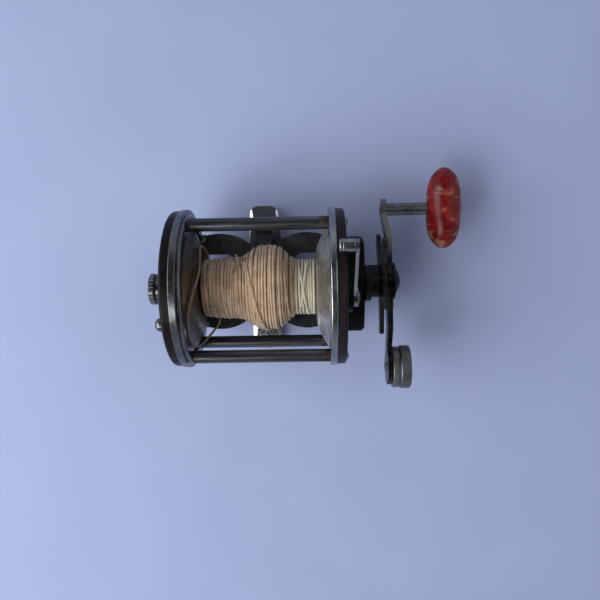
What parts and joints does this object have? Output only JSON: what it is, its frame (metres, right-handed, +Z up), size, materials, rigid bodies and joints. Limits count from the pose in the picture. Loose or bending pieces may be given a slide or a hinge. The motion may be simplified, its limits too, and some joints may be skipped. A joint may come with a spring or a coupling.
{
  "type": "conventional fishing reel",
  "caption": "Conventional star-drag fishing reel: ringed frame with pillars, wound spool, geared crank with barrel knob, clutch lever, click button and a foot for a rod seat.",
  "frame": {"origin": "middle of the foot's underside, below the middle of the spool", "axes": "+X along the spool axis towards the crank, +Y towards the rod tip, +Z up"},
  "size_m": [0.1623, 0.1161, 0.085],
  "materials": {
    "resin": "worn satin",
    "plated": "tarnished",
    "dark_plate": "tarnished, dark",
    "brass": "machined",
    "steel": "turned",
    "fibre": "pressed",
    "line": "braided",
    "strand": "braided",
    "knob": "marbled, worn"
  },
  "bodies": {
    "frame": {"left_side_plate": "resin", "right_side_plate": "resin", "left_ring": "plated", "left_inner_ring": "plated", "right_ring": "plated", "front_upper_pillar": "plated", "rear_upper_pillar": "plated", "front_lower_pillar": "plated", "rear_lower_pillar": "plated", "left_plate_screws": "plated", "right_plate_screws": "plated", "stand": "dark_plate", "stand_screws": "plated", "foot": "plated", "foot_rivets": "plated", "left_bearing_bush": "brass", "right_bearing_bush": "brass", "bridge_plate": "brass", "bridge_screws": "plated", "gear_stud": "steel", "yoke_posts": "steel", "dog_pin": "steel", "dog_spring": "steel", "click_spring": "steel"},
    "spool": {"spool": "plated", "spool_shaft": "steel", "click_ratchet": "brass", "line_core": "line", "line_turns": "line", "loose_line": "strand"},
    "crank": {"gear_sleeve": "steel", "reverse_ratchet": "steel", "main_gear": "brass", "drag_washers": "fibre", "spacer_sleeve": "steel", "crank_arm": "plated", "handle_nut": "plated", "lock_screw": "plated", "handle_spindle": "plated", "counterweight": "dark_plate", "counterweight_rivet": "plated"},
    "star": {"star_wheel": "dark_plate"},
    "knob": {"handle_knob": "knob"},
    "lever": {"lever_arm": "plated", "lever_knob": "plated", "lever_screw": "plated"},
    "yoke": {"yoke": "steel", "yoke_springs": "steel"},
    "pinion": {"pinion": "brass"},
    "click": {"click_button": "plated", "click_pawl": "steel"},
    "dog": {"reverse_dog": "steel"},
    "left_cap": {"left_bearing_cap": "plated"},
    "right_cap": {"right_bearing_cap": "dark_plate"}
  },
  "joints": [
    {"name": "crank_turn", "type": "hinge", "parent": "frame", "child": "crank", "pos_m": [0, 0, 0.0282], "axis": [1, 0, 0], "continuous": true},
    {"name": "spool_spin", "type": "hinge", "parent": "frame", "child": "spool", "pos_m": [0, 0, 0.045], "axis": [1, 0, 0], "continuous": true},
    {"name": "lever_throw", "type": "hinge", "parent": "frame", "child": "lever", "pos_m": [0, -0.0035, 0.0595], "axis": [1, 0, 0], "range_deg": [0, 70]},
    {"name": "yoke_slide", "type": "slide", "parent": "frame", "child": "yoke", "axis": [1, 0, 0], "range_m": [0, 0.00251]},
    {"name": "pinion_spin", "type": "hinge", "parent": "yoke", "child": "pinion", "pos_m": [0, 0, 0.045], "axis": [1, 0, 0], "continuous": true},
    {"name": "star_turn", "type": "hinge", "parent": "crank", "child": "star", "pos_m": [0, 0, 0.0282], "axis": [1, 0, 0], "range_deg": [-180, 180]},
    {"name": "knob_spin", "type": "hinge", "parent": "crank", "child": "knob", "pos_m": [0, 0.0378, 0.02201], "axis": [1, 0, 0], "continuous": true},
    {"name": "click_slide", "type": "slide", "parent": "frame", "child": "click", "axis": [0, 0.4602, -0.8878], "range_m": [0, 0.004]},
    {"name": "dog_swing", "type": "hinge", "parent": "frame", "child": "dog", "pos_m": [0.042, 0.01178, 0.035], "axis": [1, 0, 0], "range_deg": [0, 10], "stiffness_Nm_per_rad": 0.002, "springref_deg": -11.46},
    {"name": "left_cap_turn", "type": "hinge", "parent": "frame", "child": "left_cap", "pos_m": [0, 0, 0.045], "axis": [1, 0, 0], "range_deg": [-180, 180]},
    {"name": "right_cap_turn", "type": "hinge", "parent": "frame", "child": "right_cap", "pos_m": [0, 0, 0.045], "axis": [1, 0, 0], "range_deg": [-180, 180]}
  ],
  "couplings": [
    {"joint": "spool_spin", "follows": "crank_turn", "ratio": -2.5},
    {"joint": "pinion_spin", "follows": "crank_turn", "ratio": -2.5},
    {"joint": "yoke_slide", "follows": "lever_throw", "m_per_rad": 0.0020462}
  ]
}
